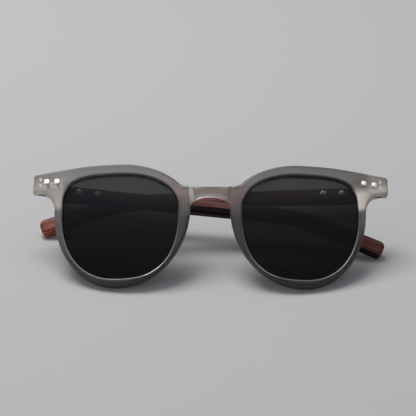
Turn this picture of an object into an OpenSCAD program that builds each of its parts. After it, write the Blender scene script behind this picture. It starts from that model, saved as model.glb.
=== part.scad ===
// Folding sunglasses: a moulded front with two tinted lenses, and two wooden temples on barrel hinges.
// The front is drawn in its own frame, in millimetres: x towards the wearer's left, y up, z out of
// the front, with the middle of the bridge on x = 0. The folded pair then leans back until it stands
// on its two lower rims and on the tips of its temples. Left and right are the wearer's.

/* [Lens openings] */
// Distance from the middle of the front to the middle of an opening
lens_x = 36.7; // [34:0.1:39]
// Half the width of an opening
open_half_w = 23.6; // [21:0.1:25]
// Height of the widest line of an opening
widest_y = 10.0; // [8:0.1:11]
// Height of an opening above its widest line
open_up = 14.3; // [13:0.1:16]
// Depth of an opening below its widest line
open_down = 31.3; // [29:0.1:33]
// Squareness of the upper corner beside the temple
square_temple_top = 2.95; // [2:0.05:4]
// Squareness of the upper corner beside the nose
square_nose_top = 1.9; // [1.8:0.05:2.6]
// Squareness of the lower corner beside the nose
square_nose_low = 2.55; // [2:0.05:3]
// Squareness of the lower corner beside the temple
square_temple_low = 2.25; // [2:0.05:3]
// Squareness of the lower corners of the outer edge
square_rim_low = 2.0; // [1.9:0.05:2.2]

/* [Front] */
// Thickness of the front
front_thick = 4.2; // [3.8:0.1:5]
// Radius of the front face, seen from above
front_radius = 320; // [240:5:420]
// Width of the rim above a lens
rim_top = 4.4; // [3:0.1:5]
// Width of the rim below a lens
rim_low = 2.9; // [2.2:0.1:3.6]
// Width of the rim beside the temple
rim_side = 3.1; // [2.4:0.1:3.6]
// Half the width of the gap for the nose
nose_half = 8.0; // [7:0.1:9]
// Height of the top of the nose arch
arch_y = 14.6; // [13:0.1:15.5]
// Squareness of the nose arch
square_arch = 2.1; // [1.9:0.05:2.6]
// Height of the top edge of the bridge
bridge_y = 18.7; // [17.6:0.1:19.6]
// How far the face of the bridge lies behind the rims
bridge_set = 1.3; // [0.6:0.1:1.8]
// Width of the slanted flank on each side of the bridge
flank_w = 1.4; // [1:0.1:2.4]
// Angle at which the two flanks lean apart towards their upper ends
flank_lean = 7; // [4:1:12]
// Height above the widest line at which a flank meets the edge of the nose gap
flank_foot = 2.7; // [1.5:0.1:4]

/* [Nose pads] */
// Height of a nose pad behind the rim
pad_depth = 5.2; // [3:0.1:7]
// Length of a nose pad
pad_len = 17; // [12:0.5:20]
// Width of a nose pad
pad_w = 3.2; // [2.6:0.1:3.6]
// Height of the middle of a nose pad
pad_y = -1.2; // [-4:0.1:1]
// Distance from the nose gap to a nose pad
pad_inset = 2.3; // [1.8:0.1:2.6]
// Angle at which a nose pad spreads towards the back
pad_splay = 8; // [0:1:15]
// Angle at which a nose pad spreads towards its lower end
pad_lean = 13; // [9:1:15]
// Width of the sloped edge of a nose pad
pad_edge = 0.9; // [0.4:0.1:1.2]

/* [End pieces] */
// Distance from the middle of the front to the outer end of an end piece
end_x = 73; // [71:0.1:76]
// Height of the top of an end piece at its outer end
end_top = 26.3; // [24:0.1:27]
// Height of the underside of an end piece at its outer end
end_low = 18.3; // [17:0.1:19]
// Radius of the outer corners of an end piece
end_corner = 1.2; // [0.8:0.1:2.4]
// Length of the level stretch of the upper edge beyond the middle of the lens
brow_flat = 15.3; // [10:0.1:18]
// Length of the nearly straight stretch of the upper edge at the end piece
end_flat = 22.7; // [14:0.1:26]
// Rise of the upper edge along that stretch towards the lens
end_fall = 2.3; // [0:0.1:3]
// Reach of the sweep from the rim out under the end piece
sweep_w = 3.4; // [2:0.1:5]
// Height of the sweep above the widest line of the opening
sweep_h = 6.5; // [4:0.1:9]
// Outward lean of the sweep at its lower end
sweep_lean = 0.9; // [0:0.1:2]
// Sag of the sweep below the underside of the end piece
sweep_sag = 0.4; // [0:0.1:1]

/* [Lenses] */
// Thickness of a lens
lens_thick = 1.6; // [1.2:0.1:1.8]
// Distance from the front face back to the lens
lens_set = 1.9; // [1:0.1:1.9]
// Depth of the groove that holds the lens
groove = 0.8; // [0.5:0.1:1]

/* [Hinges] */
// Distance from the middle of the front to a hinge axis
hinge_x = 63; // [61:0.1:65]
// Height of the hinges
hinge_y = 21.8; // [21:0.1:22.5]
// Distance from the back of the end piece to the hinge axis
axis_back = 2.0; // [1.8:0.05:2.4]
// Lean of the hinge axes, which sets the tilt of the lenses on the face
axis_lean = 5; // [2:0.5:8]
// Sideways skew of both hinge axes, which lets the folded temples pass over each other
fold_skew = 3.1; // [3.1:0.1:4]
// Outer diameter of the barrels
barrel_d = 2.8; // [2.4:0.1:3]
// Diameter of the hinge screw
pin_d = 1.3; // [1:0.05:1.5]
// Height of one knuckle
knuckle_h = 0.84; // [0.7:0.02:0.9]
// Thickness of a hinge leaf
leaf_thick = 0.9; // [0.7:0.05:1]
// Distance from a rivet to the end of the front leaf
leaf_margin = 2.2; // [1.6:0.1:2.4]
// Gap along the temple between the barrels and the flat of the temple leaf
leaf_clear = 0.3; // [0.2:0.05:0.5]
// Distance along the temple to the end of its leaf
temple_leaf_len = 19.5; // [19:0.1:24]

/* [Screws and rivets] */
// Diameter of the rivets and of the temple screws
shank_d = 1.2; // [1:0.05:1.4]
// Position of the inner rivet across the end piece, from the hinge axis
rivet_first = -1.4; // [-2:0.1:-0.8]
// Distance between the two rivets
rivet_pitch = 4.4; // [3.6:0.1:5]
// Diameter of the heads of the rivets
rivet_head_d = 2.1; // [1.8:0.1:2.6]
// Diameter of the flat on top of a rivet
rivet_top_d = 1.3; // [0.8:0.1:1.6]
// Height of the upright edge of a rivet's head, and of the slope above it
rivet_rise = 0.22; // [0.1:0.02:0.4]
// Distance along the temple to the first temple screw
screw_first = 8.8; // [7:0.1:10]
// Distance between the two temple screws
screw_pitch = 7.7; // [6:0.1:8.4]
// Diameter of the heads of the temple screws
screw_head_d = 2.6; // [2:0.1:3]
// Diameter of the flat on top of a temple screw
screw_top_d = 1.6; // [1.2:0.1:1.9]
// Diameter of the socket in a temple screw
screw_socket_d = 0.8; // [0.5:0.1:1]
// Height of the upright edge of a temple screw's head, and of the slope above it
screw_rise = 0.25; // [0.15:0.05:0.4]
// Diameter of the head of the hinge screw
hinge_head_d = 2.2; // [1.8:0.1:2.4]
// Height of the head of the hinge screw
hinge_head_h = 0.6; // [0.4:0.05:0.8]
// Width of the slot in the head of the hinge screw
slot_w = 0.35; // [0.25:0.05:0.5]

/* [Temples] */
// Length of a temple along its middle line, from the hinge axis
temple_len = 138; // [130:0.5:145]
// Distance from the hinge axis to the inner face of an open temple
temple_in = 1.9; // [1.8:0.05:2.2]
// Thickness of a temple
temple_thick = 4.6; // [4:0.1:5]
// Height of a temple at its hinge
root_h = 6.4; // [6:0.1:6.6]
// Height of a temple along its middle
mid_h = 6.0; // [5.5:0.1:6.2]
// Height of a temple at its tip
tip_h = 7.0; // [6:0.1:7.4]
// Slope of a temple before its bend
slope_root = 1; // [0:0.5:3]
// Slope of a temple after its bend
slope_tip = 20; // [16:0.5:24]
// Distance along the temple to the start of its bend
straight_len = 90; // [86:0.5:96]
// Length of the bend
bend_len = 22; // [16:0.5:28]
// Radius of the rounded end of a tip, seen from the side
tip_round = 2.4; // [1:0.1:2.6]
// Radius of the rounded end of a tip, seen from above
tip_ease = 1.4; // [0.6:0.1:1.6]

/* [Folded pose] */
// Angle between the front and the folded left temple, which lies behind
left_fold = 8; // [7.5:0.1:9]
// Angle between the front and the folded right temple, which lies in front
right_fold = 3.5; // [0:0.05:4]
// Height of the direction in which the resting front faces
rest_elev = 48.95; // [40:0.05:60]
// Distance by which the resting pair is moved forward to stand over the origin
rest_forward = 12.2; // [0:0.1:30]

/* [Hidden] */
plastic_colour = "#77736e";
lens_colour = "#1d1d20";
wood_colour = "#6e3a2b";
metal_colour = "#c9c9c7";
// Clearance between pieces that are fitted together, and of a running pin on its radius
fit_gap = 0.04;
run_gap = 0.04;
// Clearance between knuckles, and between the root of an open temple and the end piece
knuckle_gap = 0.06;
root_gap = 0.65;
// Points along a quarter of an outline, along a blend, and round a temple
quarter_steps = 16;
blend_steps = 12;
ring_steps = 24;
// Rings along the straight, the bend, the end stretch and the rounded end of a temple
straight_rings = 6;
bend_rings = 7;
tip_rings = 3;
end_rings = 4;
// Squareness of the section of a temple
edge_square = 5;
$fn = 48;
curve_fn = 720;
// Reach of cutting bodies past the front
reach = end_x;
back_radius = front_radius - front_thick;
rim_top_y = widest_y + open_up + rim_top;
rim_side_x = lens_x + open_half_w + rim_side;
axis_radius = back_radius - axis_back;
// Turn of the end piece, seen from above, where the hinge sits on it
end_turn = asin(hinge_x / axis_radius);
hinge_z = axis_radius * cos(end_turn) - front_radius;
// The hinge has five knuckles; levels count from the middle one, and both leaves are as high as the barrel
knuckle_step = knuckle_h + knuckle_gap;
front_levels = [-2, 0, 2];
temple_levels = [-1, 1];
hinge_top = max(front_levels) * knuckle_step + knuckle_h / 2;
leaf_h = 2 * hinge_top;
rivet_places = [rivet_first, rivet_first + rivet_pitch];
screw_places = [screw_first, screw_first + screw_pitch];
// Depth of the front face in the frame of an end piece
face_out = axis_back + front_thick;

// Outlines of the front
function sgn_pow(v, e) = sign(v) * pow(abs(v), e);
function squared(half_w, half_h, n, t) =
    [half_w * sgn_pow(cos(t), 2 / n), half_h * sgn_pow(sin(t), 2 / n)];
function corner_n(t) =
    sin(t) >= 0
        ? (cos(t) >= 0 ? square_temple_top : square_nose_top)
        : (cos(t) >= 0 ? square_temple_low : square_nose_low);
function opening(grow) =
    [for (i = [0 : 4 * quarter_steps - 1])
        let (t = i * 90 / quarter_steps)
        [lens_x, widest_y] + squared(open_half_w + grow,
            (sin(t) >= 0 ? open_up : open_down) + grow, corner_n(t), t)];
function rim_quarter(half_w, half_h, n, from, to) =
    [for (i = [0 : quarter_steps])
        [lens_x, widest_y] + squared(half_w, half_h, n, from + (to - from) * i / quarter_steps)];
function blend(a, b, c, d) =
    [for (i = [1 : blend_steps - 1])
        let (t = i / blend_steps, s = 1 - t)
        s * s * s * a + 3 * s * s * t * b + 3 * s * t * t * c + t * t * t * d];
function corner(centre, r, from, to) =
    [for (i = [0 : blend_steps])
        let (a = from + (to - from) * i / blend_steps)
        centre + r * [cos(a), sin(a)]];
function tail(points) = [for (i = [1 : len(points) - 1]) points[i]];
nose_reach = lens_x - nose_half;
shoulder_t = 180 - asin(pow((bridge_y - widest_y) / (rim_top_y - widest_y), square_nose_top / 2));
// The upper edge falls gently from above the lens to the end piece, and the underside of the end
// piece sweeps down into the side of the rim
brow = blend([lens_x, rim_top_y], [lens_x + brow_flat, rim_top_y],
    [end_x - end_flat, end_top + end_fall], [end_x - end_corner, end_top]);
sweep = blend([end_x - end_corner, end_low], [rim_side_x + sweep_w, end_low - sweep_sag],
    [rim_side_x + sweep_lean, widest_y + sweep_h], [rim_side_x, widest_y]);
half_outline = concat(
    [[0, bridge_y]],
    rim_quarter(nose_reach, rim_top_y - widest_y, square_nose_top, shoulder_t, 90),
    brow,
    corner([end_x - end_corner, end_top - end_corner], end_corner, 90, 0),
    corner([end_x - end_corner, end_low + end_corner], end_corner, 0, -90),
    sweep,
    rim_quarter(open_half_w + rim_side, open_down + rim_low, square_rim_low, 0, -90),
    tail(rim_quarter(nose_reach, open_down + rim_low, square_rim_low, -90, -180)),
    [for (i = [1 : quarter_steps])
        [0, widest_y] + squared(nose_half, arch_y - widest_y, square_arch, i * 90 / quarter_steps)]);
// The other half, without the two points on the middle line
function mirrored(points) = [for (i = [len(points) - 2 : -1 : 1]) [-points[i].x, points[i].y]];
outline = concat(half_outline, mirrored(half_outline));

// The front stands on the lowest points of its two lower rims
function back_z(x) = sqrt(back_radius * back_radius - x * x) - front_radius;
rest_low = min([for (p = half_outline) p.y * cos(rest_elev) + back_z(p.x) * sin(rest_elev)]);

// Shapes that repeat
module rest_pose() {
    translate([0, -rest_forward, -rest_low]) rotate([90 - rest_elev, 0, 0]) children();
}
// A slice of the front between two depths below its curved face
module curved_layer(from, to) {
    translate([0, 0, -front_radius]) rotate([90, 0, 0]) difference() {
        cylinder(r = front_radius - from, h = 2 * reach, center = true, $fn = curve_fn);
        cylinder(r = front_radius - to, h = 3 * reach, center = true, $fn = curve_fn);
    }
}
module prism(points) {
    translate([0, 0, -reach]) linear_extrude(2 * reach) polygon(points);
}
module each_side() {
    children();
    mirror([1, 0, 0]) children();
}
// The frame of a hinge: y runs up its axis and z out of the front; side is 1 for left, -1 for right
module on_hinge(side) {
    mirror([side < 0 ? 1 : 0, 0, 0]) translate([hinge_x, hinge_y, hinge_z])
        rotate([-axis_lean, 0, 0]) rotate([0, 0, -side * fold_skew]) children();
}
// The same frame, turned square to the end piece
module on_end_piece(side) {
    on_hinge(side) rotate([0, end_turn, 0]) children();
}
// The frame of a folded temple: z runs forward along the open temple
module on_temple(side) {
    on_hinge(side) rotate([0, 90 - (side > 0 ? left_fold : right_fold), 0]) children();
}
// A skin of triangles over rings with the same number of points
module loft(rings) {
    n = len(rings[0]);
    last = len(rings) - 1;
    points = [for (ring = rings) each ring];
    walls = [for (j = [0 : last - 1], i = [0 : n - 1])
        let (k = (i + 1) % n, a = j * n + i, b = j * n + k, c = a + n, d = b + n)
        each [[a, c, b], [b, c, d]]];
    caps = [[for (i = [0 : n - 1]) i], [for (i = [n - 1 : -1 : 0]) last * n + i]];
    polyhedron(points, concat(walls, caps));
}
module bar(d, from, to) {
    translate([0, 0, from]) cylinder(d = d, h = to - from);
}
module shank_bore(from, to) {
    bar(shank_d + 2 * fit_gap, from, to);
}

// Parts of the front
module bridge_recess() {
    far = -nose_half - flank_w;
    each_side() translate([nose_half, widest_y + flank_foot, 0]) rotate([90, 0, -flank_lean])
        linear_extrude(reach, center = true)
            polygon([[flank_w, bridge_set], [-flank_w, -bridge_set], [far, -bridge_set], [far, bridge_set]]);
}
// A nose pad is a thick disc that stands edge-on behind the rim and sinks into it at both ends
module nose_pad() {
    root = (front_thick + lens_set + lens_thick) / 2;
    rise = front_thick + pad_depth - root;
    r = (rise * rise + pad_len * pad_len / 4) / (2 * rise);
    intersection() {
        curved_layer(root, front_radius / 2);
        translate([nose_half + pad_inset, pad_y, r - front_thick - pad_depth])
            rotate([0, -pad_splay, pad_lean]) rotate([0, 90, 0]) rotate_extrude()
                polygon([[0, 0], [r - pad_edge, 0], [r, pad_edge], [r, pad_w - pad_edge],
                    [r - pad_edge, pad_w], [0, pad_w]]);
    }
}
// Each rivet has a bore and a flat seat for its head
module rivet_holes(side) {
    on_end_piece(side) for (x = rivet_places) translate([x, 0, 0]) {
        shank_bore(0, face_out + axis_back);
        bar(rivet_head_d + 2 * fit_gap, face_out - fit_gap, face_out + axis_back);
    }
}
// The plate of the front leaf lies flush in the back of the end piece
module leaf_plate(grow, behind) {
    from = rivet_places[0] - leaf_margin - grow;
    to = rivet_places[1] + leaf_margin + grow;
    translate([from, -leaf_h / 2 - grow, axis_back - behind])
        cube([to - from, leaf_h + 2 * grow, leaf_thick + grow + behind]);
}
module leaf_pocket(side) {
    on_end_piece(side) leaf_plate(fit_gap, axis_back);
}
module front_frame() {
    color(plastic_colour) rest_pose() difference() {
        union() {
            difference() {
                intersection() {
                    prism(outline);
                    curved_layer(0, front_thick);
                }
                each_side() prism(opening(0));
                each_side() intersection() {
                    prism(opening(groove + fit_gap));
                    curved_layer(lens_set - fit_gap, lens_set + lens_thick + fit_gap);
                }
                bridge_recess();
            }
            each_side() nose_pad();
        }
        for (side = [-1, 1]) {
            rivet_holes(side);
            leaf_pocket(side);
        }
    }
}
module lens() {
    color(lens_colour) intersection() {
        prism(opening(groove));
        curved_layer(lens_set, lens_set + lens_thick);
    }
}
module left_lens() { rest_pose() lens(); }
module right_lens() { rest_pose() mirror([1, 0, 0]) lens(); }

// Parts of the hinges
module knuckle(level) {
    translate([0, level * knuckle_step - knuckle_h / 2, 0]) rotate([-90, 0, 0])
        cylinder(d = barrel_d, h = knuckle_h);
}
// An arm as high as one knuckle, between two corners seen from above
module arm(level, from, to) {
    translate([from.x, level * knuckle_step - knuckle_h / 2, from.y])
        cube([to.x - from.x, knuckle_h, to.y - from.y]);
}
module pin_bore() {
    rotate([90, 0, 0]) cylinder(d = pin_d + 2 * run_gap, h = 4 * hinge_top, center = true);
}
module front_hinge_leaf(side) {
    color(metal_colour) rest_pose() on_end_piece(side) difference() {
        union() {
            leaf_plate(0, 0);
            for (level = front_levels) {
                knuckle(level);
                arm(level, [-barrel_d / 2, 0], [pin_d / 2, axis_back + leaf_thick / 2]);
            }
        }
        pin_bore();
        for (x = rivet_places) translate([x, 0, 0]) shank_bore(axis_back - leaf_thick, face_out);
    }
}
module left_front_hinge_leaf() { front_hinge_leaf(1); }
module right_front_hinge_leaf() { front_hinge_leaf(-1); }

// The temple leaf is let into the inner face of the temple by half its thickness
leaf_face = temple_in - leaf_thick / 2;
leaf_back = temple_in + leaf_thick / 2;
leaf_start = barrel_d / 2 + leaf_clear;
module temple_hinge_leaf(side) {
    color(metal_colour) rest_pose() on_temple(side) difference() {
        union() {
            translate([leaf_face, -leaf_h / 2, -temple_leaf_len])
                cube([leaf_thick, leaf_h, temple_leaf_len - leaf_start]);
            for (level = temple_levels) {
                knuckle(level);
                arm(level, [0, -leaf_start - leaf_thick / 2], [leaf_back, pin_d / 2]);
            }
        }
        pin_bore();
        for (r = screw_places) translate([0, 0, -r]) rotate([0, 90, 0]) shank_bore(0, 2 * leaf_back);
    }
}
module left_temple_hinge_leaf() { temple_hinge_leaf(1); }
module right_temple_hinge_leaf() { temple_hinge_leaf(-1); }

module hinge_screw(side) {
    seat = hinge_top + knuckle_gap;
    color(metal_colour) rest_pose() on_hinge(side) rotate([-90, 0, 0]) difference() {
        union() {
            bar(pin_d, -hinge_top, seat);
            bar(hinge_head_d, seat, seat + hinge_head_h);
        }
        translate([-hinge_head_d, -slot_w / 2, seat + hinge_head_h / 2])
            cube([2 * hinge_head_d, slot_w, hinge_head_h]);
    }
}
module left_hinge_screw() { hinge_screw(1); }
module right_hinge_screw() { hinge_screw(-1); }

module front_rivets(side) {
    color(metal_colour) rest_pose() on_end_piece(side) for (x = rivet_places) translate([x, 0, 0]) {
        bar(shank_d, axis_back, face_out + rivet_rise);
        bar(rivet_head_d, face_out, face_out + rivet_rise);
        translate([0, 0, face_out + rivet_rise]) cylinder(d1 = rivet_head_d, d2 = rivet_top_d, h = rivet_rise);
    }
}
module left_front_rivets() { front_rivets(1); }
module right_front_rivets() { front_rivets(-1); }

// Temples. The middle line runs straight at a small slope, turns down round the bend and runs
// straight again; slope, height and thickness follow the distance s along it
bend_end = straight_len + bend_len;
bend_radius = bend_len / ((slope_tip - slope_root) * PI / 180);
function slope_at(s) =
    s < straight_len ? slope_root
    : s > bend_end ? slope_tip
    : slope_root + (slope_tip - slope_root) * (s - straight_len) / bend_len;
function along(s, from, angle) = from + s * [-sin(angle), -cos(angle)];
bend_start = along(straight_len, [0, 0], slope_root);
function on_bend(s) =
    bend_start + bend_radius * [cos(slope_at(s)) - cos(slope_root), sin(slope_root) - sin(slope_at(s))];
function middle_at(s) =
    s <= straight_len ? along(s, [0, 0], slope_root)
    : s <= bend_end ? on_bend(s)
    : along(s - bend_end, on_bend(bend_end), slope_tip);
function ease(t) = t <= 0 ? 0 : t >= 1 ? 1 : t * t * (3 - 2 * t);
function height_at(s) =
    s < straight_len ? root_h + (mid_h - root_h) * ease(2 * s / straight_len)
    : mid_h + (tip_h - mid_h) * ease((s - straight_len) / (temple_len - straight_len));
// Loss of half height or half thickness towards the rounded end
function end_loss(s, r) =
    let (d = temple_len - s)
    d >= r ? 0 : r - sqrt(max(0, r * r - (r - d) * (r - d)));
function section(s) =
    [for (i = [0 : ring_steps - 1])
        squared(temple_thick / 2 - end_loss(s, tip_ease),
            height_at(s) / 2 - end_loss(s, tip_round), edge_square, (i + 0.5) * 360 / ring_steps)];
function temple_ring(s) =
    let (m = middle_at(s), a = slope_at(s))
    [for (p = section(s))
        [temple_in + temple_thick / 2 + p.x, m.x + p.y * cos(a), m.y - p.y * sin(a)]];
// The root is cut parallel to the back of the end piece
function root_ring() =
    [for (p = section(0))
        let (x = temple_in + temple_thick / 2 + p.x)
        [x, p.y, (axis_back - root_gap - x * sin(end_turn)) / cos(end_turn)]];
tip_from = temple_len - tip_round;
temple_stops = concat(
    [barrel_d],
    [for (i = [1 : straight_rings]) straight_len * i / straight_rings],
    [for (i = [1 : bend_rings]) straight_len + bend_len * i / bend_rings],
    [for (i = [1 : tip_rings]) bend_end + (tip_from - bend_end) * i / tip_rings],
    [for (i = [1 : end_rings]) tip_from + tip_round * sin(90 * i / end_rings)]);
module temple(side) {
    color(wood_colour) rest_pose() on_temple(side) difference() {
        loft(concat([root_ring()], [for (s = temple_stops) temple_ring(s)]));
        translate([0, -leaf_h / 2 - fit_gap, -temple_leaf_len - fit_gap])
            cube([leaf_back + fit_gap, leaf_h + 2 * fit_gap, temple_leaf_len + 2 * axis_back]);
        for (r = screw_places) translate([0, 0, -r]) rotate([0, 90, 0])
            shank_bore(0, leaf_back + temple_thick / 2);
    }
}
module left_temple() { temple(1); }
module right_temple() { temple(-1); }

module temple_screws(side) {
    color(metal_colour) rest_pose() on_temple(side) for (r = screw_places)
        translate([leaf_face, 0, -r]) rotate([0, 90, 0]) difference() {
            union() {
                bar(shank_d, -screw_rise, leaf_thick + temple_thick / 2 - fit_gap);
                bar(screw_head_d, -screw_rise, 0);
                translate([0, 0, -2 * screw_rise])
                    cylinder(d1 = screw_top_d, d2 = screw_head_d, h = screw_rise);
            }
            bar(screw_socket_d, -3 * screw_rise, -screw_rise);
        }
}
module left_temple_screws() { temple_screws(1); }
module right_temple_screws() { temple_screws(-1); }

front_frame();
left_lens();
right_lens();
left_front_hinge_leaf();
right_front_hinge_leaf();
left_temple_hinge_leaf();
right_temple_hinge_leaf();
left_hinge_screw();
right_hinge_screw();
left_front_rivets();
right_front_rivets();
left_temple();
right_temple();
left_temple_screws();
right_temple_screws();
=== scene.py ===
import math

import bmesh
import bpy
import numpy as np
from mathutils import Matrix, Vector


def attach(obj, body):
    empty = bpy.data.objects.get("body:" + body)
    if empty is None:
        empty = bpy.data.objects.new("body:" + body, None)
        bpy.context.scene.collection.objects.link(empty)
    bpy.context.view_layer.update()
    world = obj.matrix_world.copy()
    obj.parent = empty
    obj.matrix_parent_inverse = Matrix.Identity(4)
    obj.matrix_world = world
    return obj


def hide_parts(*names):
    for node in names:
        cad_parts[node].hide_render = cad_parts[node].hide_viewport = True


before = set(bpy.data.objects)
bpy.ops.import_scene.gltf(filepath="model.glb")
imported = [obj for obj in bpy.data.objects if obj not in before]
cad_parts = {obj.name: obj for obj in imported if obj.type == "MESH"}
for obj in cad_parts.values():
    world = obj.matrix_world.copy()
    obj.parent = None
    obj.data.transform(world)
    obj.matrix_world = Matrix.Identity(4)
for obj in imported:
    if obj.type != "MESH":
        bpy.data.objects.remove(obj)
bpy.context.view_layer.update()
print("frame loaded")

# Shapes are in millimetres, in the frame of the front: x to the wearer's left, y up, z out of the face.
# Materials, lamps and the camera are in metres, in the row frame: x alike, y away from the viewer, z up
millimetre = 0.001
mergeDistance = 2e-6   # metres
shortEdge = 1e-7       # metres
tiny = 1e-9            # keeps a divisor above zero


# Shared shapes

def signedPower(v, e):
    return np.sign(v) * np.abs(v) ** e


def smoothStep(t):
    # from 0 to 1 with a level start and end: t^2 (3 - 2 t)
    t = np.clip(t, 0, 1)
    return t * t * (3 - 2 * t)


def fadeOut(distance, full, none):
    # 1 up to the first distance, then evenly down to 0 at the second
    return np.clip((none - distance) / (none - full), 0, 1)


def roundedDrop(distance, radius):
    # how far a rounded edge falls at a distance from the outline: a quarter circle
    inside = np.clip(distance, 0, radius)
    return radius - np.sqrt(np.maximum(radius ** 2 - (radius - inside) ** 2, 0))


def squaredArc(halfWidth, halfHeight, n, start, stop, count=400):
    # superellipse arc: x = a cos(t)^(2/n), y = b sin(t)^(2/n), with the signs of cos and sin kept
    t = np.radians(np.linspace(start, stop, count))
    x = halfWidth * signedPower(np.cos(t), 2 / n)
    y = halfHeight * signedPower(np.sin(t), 2 / n)
    return np.stack([x, y], -1)


def bezier(a, b, c, d, count=200):
    # cubic curve from a to d, pulled by b and c
    t = np.linspace(0, 1, count)[:, None]
    a, b, c, d = (np.array(p, float) for p in (a, b, c, d))
    return (1 - t) ** 3 * a + 3 * (1 - t) ** 2 * t * b + 3 * (1 - t) * t ** 2 * c + t ** 3 * d


def roundCorner(centre, radius, start, stop, count=60):
    t = np.radians(np.linspace(start, stop, count))
    return np.array(centre, float) + radius * np.stack([np.cos(t), np.sin(t)], -1)


def evenly(points, count, start=0.0, stop=1.0):
    # points at equal steps of length along a polyline, from one share of its length to another
    run = np.r_[0, np.cumsum(np.linalg.norm(np.diff(points, axis=0), axis=1))]
    at = np.linspace(start, stop, count) * run[-1]
    return np.stack([np.interp(at, run, points[:, 0]), np.interp(at, run, points[:, 1])], -1)


def turnAbout(axis, angle):
    # a turn by degrees about one axis, which carries the next axis towards the one after it
    first, second = {"x": (1, 2), "y": (2, 0), "z": (0, 1)}[axis]
    c, s = math.cos(math.radians(angle)), math.sin(math.radians(angle))
    matrix = np.eye(3)
    matrix[[first, second], [first, second]] = c
    matrix[first, second] = -s
    matrix[second, first] = s
    return matrix


def outwardNormals(loop):
    # unit normals to the left of a closed loop's direction: outwards, as the front's loops run clockwise
    along = np.roll(loop, -1, 0) - np.roll(loop, 1, 0)
    along /= np.maximum(np.linalg.norm(along, axis=1), tiny)[:, None]
    return np.stack([-along[:, 1], along[:, 0]], -1)


def distanceTo(points, line, blockSize=4000):
    # shortest distance from each point to a polyline, for one block of points at a time to spare memory
    start = line[:-1]
    along = line[1:] - start
    length2 = np.maximum((along ** 2).sum(-1), tiny)
    best = np.full(len(points), np.inf)
    for block in np.array_split(np.arange(len(points)), max(1, len(points) // blockSize)):
        offset = points[block][:, None] - start
        share = np.clip((offset * along).sum(-1) / length2, 0, 1)
        best[block] = np.linalg.norm(offset - share[..., None] * along, axis=-1).min(1)
    return best


def gridFaces(rows, columns, wrapRows=False, wrapColumns=False):
    # quads between neighbouring rows and columns of a grid of points
    row = np.arange(rows - (not wrapRows))[:, None]
    column = np.arange(columns - (not wrapColumns))[None]
    nextRow, nextColumn = (row + 1) % rows, (column + 1) % columns
    corners = [row * columns + column, nextRow * columns + column,
               nextRow * columns + nextColumn, row * columns + nextColumn]
    return np.stack(corners, -1).reshape(-1, 4)


def revolve(profile, count):
    # a profile of radius and height, carried once round the z axis
    t = np.linspace(0, 2 * np.pi, count, endpoint=False)[:, None]
    r, z = np.array(profile, float).T
    return np.stack([r * np.cos(t), r * np.sin(t), z + 0 * t], -1)


def withMirror(points, faces):
    # one half and its image across the middle line, whose faces turn the other way
    half = points.reshape(-1, 3)
    both = np.concatenate([half, half * [-1, 1, 1]])
    return both, np.concatenate([faces, faces[:, ::-1] + len(half)])


# Pieces

def meshPiece(name, points, faces, sharpAngle, **places):
    # points are in millimetres in the row frame; doubles are merged, then faces are turned outwards
    mesh = bpy.data.meshes.new(name)
    mesh.from_pydata((points.reshape(-1, 3) * millimetre).tolist(), [], faces.tolist())
    for attributeName, place in places.items():
        attribute = mesh.attributes.new(attributeName, "FLOAT_VECTOR", "POINT")
        attribute.data.foreach_set("vector", place.reshape(-1).astype(np.float32))
    work = bmesh.new()
    work.from_mesh(mesh)
    bmesh.ops.remove_doubles(work, verts=work.verts, dist=mergeDistance)
    bmesh.ops.dissolve_degenerate(work, edges=work.edges, dist=shortEdge)
    bmesh.ops.recalc_face_normals(work, faces=work.faces)
    work.to_mesh(mesh)
    work.free()
    mesh.shade_smooth()
    mesh.set_sharp_from_angle(angle=math.radians(sharpAngle))
    piece = bpy.data.objects.new(name, mesh)
    bpy.context.scene.collection.objects.link(piece)
    return piece


def finishPiece(piece, material, body, slot, *nodes):
    piece.data.materials.append(material)
    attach(piece, body)
    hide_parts(*nodes)
    print("piece", piece.name, len(piece.data.polygons), "faces")


def sideName(side):
    return "left" if side > 0 else "right"


# The front: its outline, its rounded edges and its recessed bridge
frontShape = {
    "lensX": 36.7, "widestY": 10.0,
    "openHalfWidth": 23.6, "openNoseHalf": 23.95, "openUp": 14.3, "openDown": 31.3,
    "squareTempleTop": 3.6, "squareNoseTop": 2.05, "squareNoseLow": 2.7, "squareTempleLow": 2.25,
    "squareRimTop": 1.9, "squareRimLow": 2.0, "squareArch": 2.1,
    "thickness": 4.2, "faceRadius": 320,
    "rimTop": 4.4, "rimLow": 2.9, "rimSide": 3.1,
    "noseHalf": 8.0, "archY": 14.6, "bridgeY": 18.7,
    "bridgeSet": 1.3, "flankWidth": 1.4, "flankLean": 7, "flankFoot": 2.7,
    "endX": 73, "endTop": 26.3, "endLow": 18.3, "endCorner": 1.2,
    "browFlat": 15.3, "endFlat": 22.7, "endFall": 2.3,
    "sweepWidth": 3.4, "sweepHeight": 6.5, "sweepLean": 0.9, "sweepSag": 0.4,
    "edgeFront": 1.2, "edgeBack": 0.6, "edgeInner": 0.7,    # radii of the rounded edges
    "crease": 0.12,                                         # softness of the bridge's creases
    "leafRelief": 0.25, "reliefFrom": 53, "reliefRun": 4,   # hollow in the back for the hinge leaves
    "grooveDepth": 0.84,
    "rootShadowX": 69, "rootShadowHalf": 1.5,                         # painted shadow under the end piece, over the temple's root
    "mitre": 4,                                             # run over which spokes turn at the middle line
    "edgeRings": 7, "faceRings": 17, "wallShares": (0.25, 0.5, 0.75), "sharpAngle": 50,
}
lensCentre = np.array([frontShape["lensX"], frontShape["widestY"]])

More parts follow.
